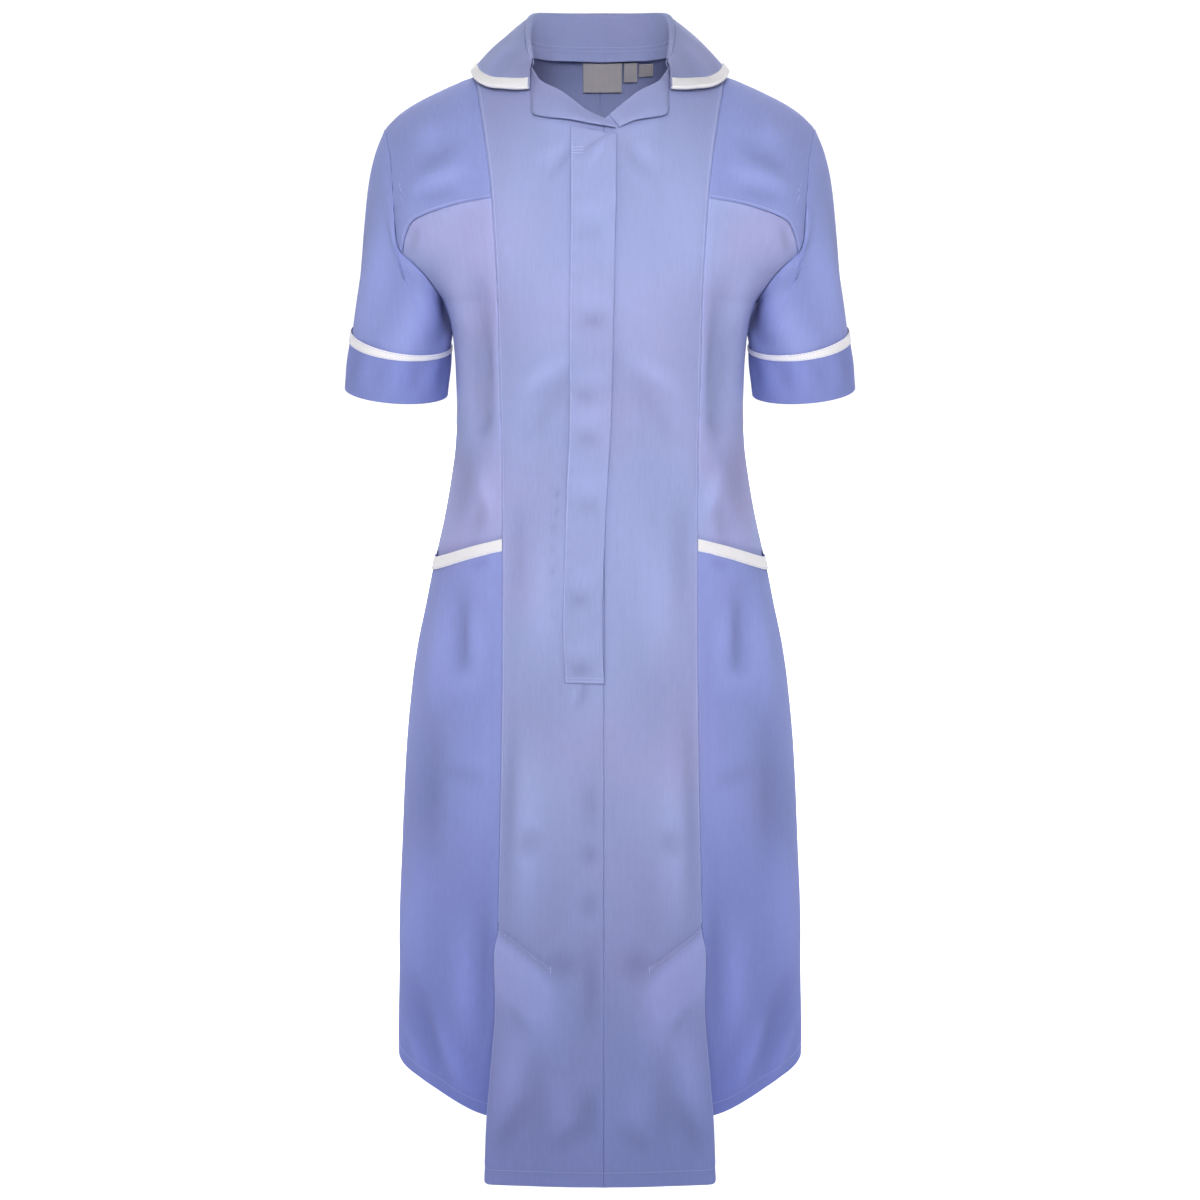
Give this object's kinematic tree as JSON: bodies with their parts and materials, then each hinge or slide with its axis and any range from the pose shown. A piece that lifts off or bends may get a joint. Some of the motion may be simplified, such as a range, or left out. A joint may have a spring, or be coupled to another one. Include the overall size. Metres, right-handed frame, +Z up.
{
  "type": "nurse uniform dress",
  "caption": "Short-sleeved fitted uniform dress, worn and hollow: revere collar, concealed fastening, princess seams, slant pockets, two kick pleats, white bound edges.",
  "frame": {"origin": "middle of the neck opening, level with the neck ends of the shoulder seams", "axes": "+Z up along the wearer, -Y the wearer's front, +X the wearer's left"},
  "size_m": [0.4894, 0.3054, 1.0901],
  "materials": {
    "cloth": "matt twill",
    "cuff_cloth": "matt twill",
    "binding": "matt woven tape",
    "label": "soft woven"
  },
  "bodies": {
    "root": {"front_left_skirt": "cloth", "front_right_skirt": "cloth", "front_left_bodice": "cloth", "front_right_bodice": "cloth", "yoke_left": "cloth", "yoke_right": "cloth", "side_front_left": "cloth", "side_front_right": "cloth", "skirt_side_left": "cloth", "skirt_side_right": "cloth", "pleat_underlay_left": "cloth", "pleat_underlay_right": "cloth", "back_left_skirt": "cloth", "back_right_skirt": "cloth", "back_left_waist": "cloth", "back_right_waist": "cloth", "back_left_shoulder": "cloth", "back_right_shoulder": "cloth", "sleeve_left": "cloth", "sleeve_right": "cloth", "cuff_left": "cuff_cloth", "cuff_right": "cuff_cloth", "cuff_binding_left": "binding", "cuff_binding_right": "binding", "pocket_binding_left": "binding", "pocket_binding_right": "binding", "lapel_left": "cloth", "lapel_right": "cloth", "placket": "cloth", "collar": "cloth", "collar_binding": "binding", "neck_label": "label", "size_label": "label", "fit_label": "label"}
  },
  "joints": []
}
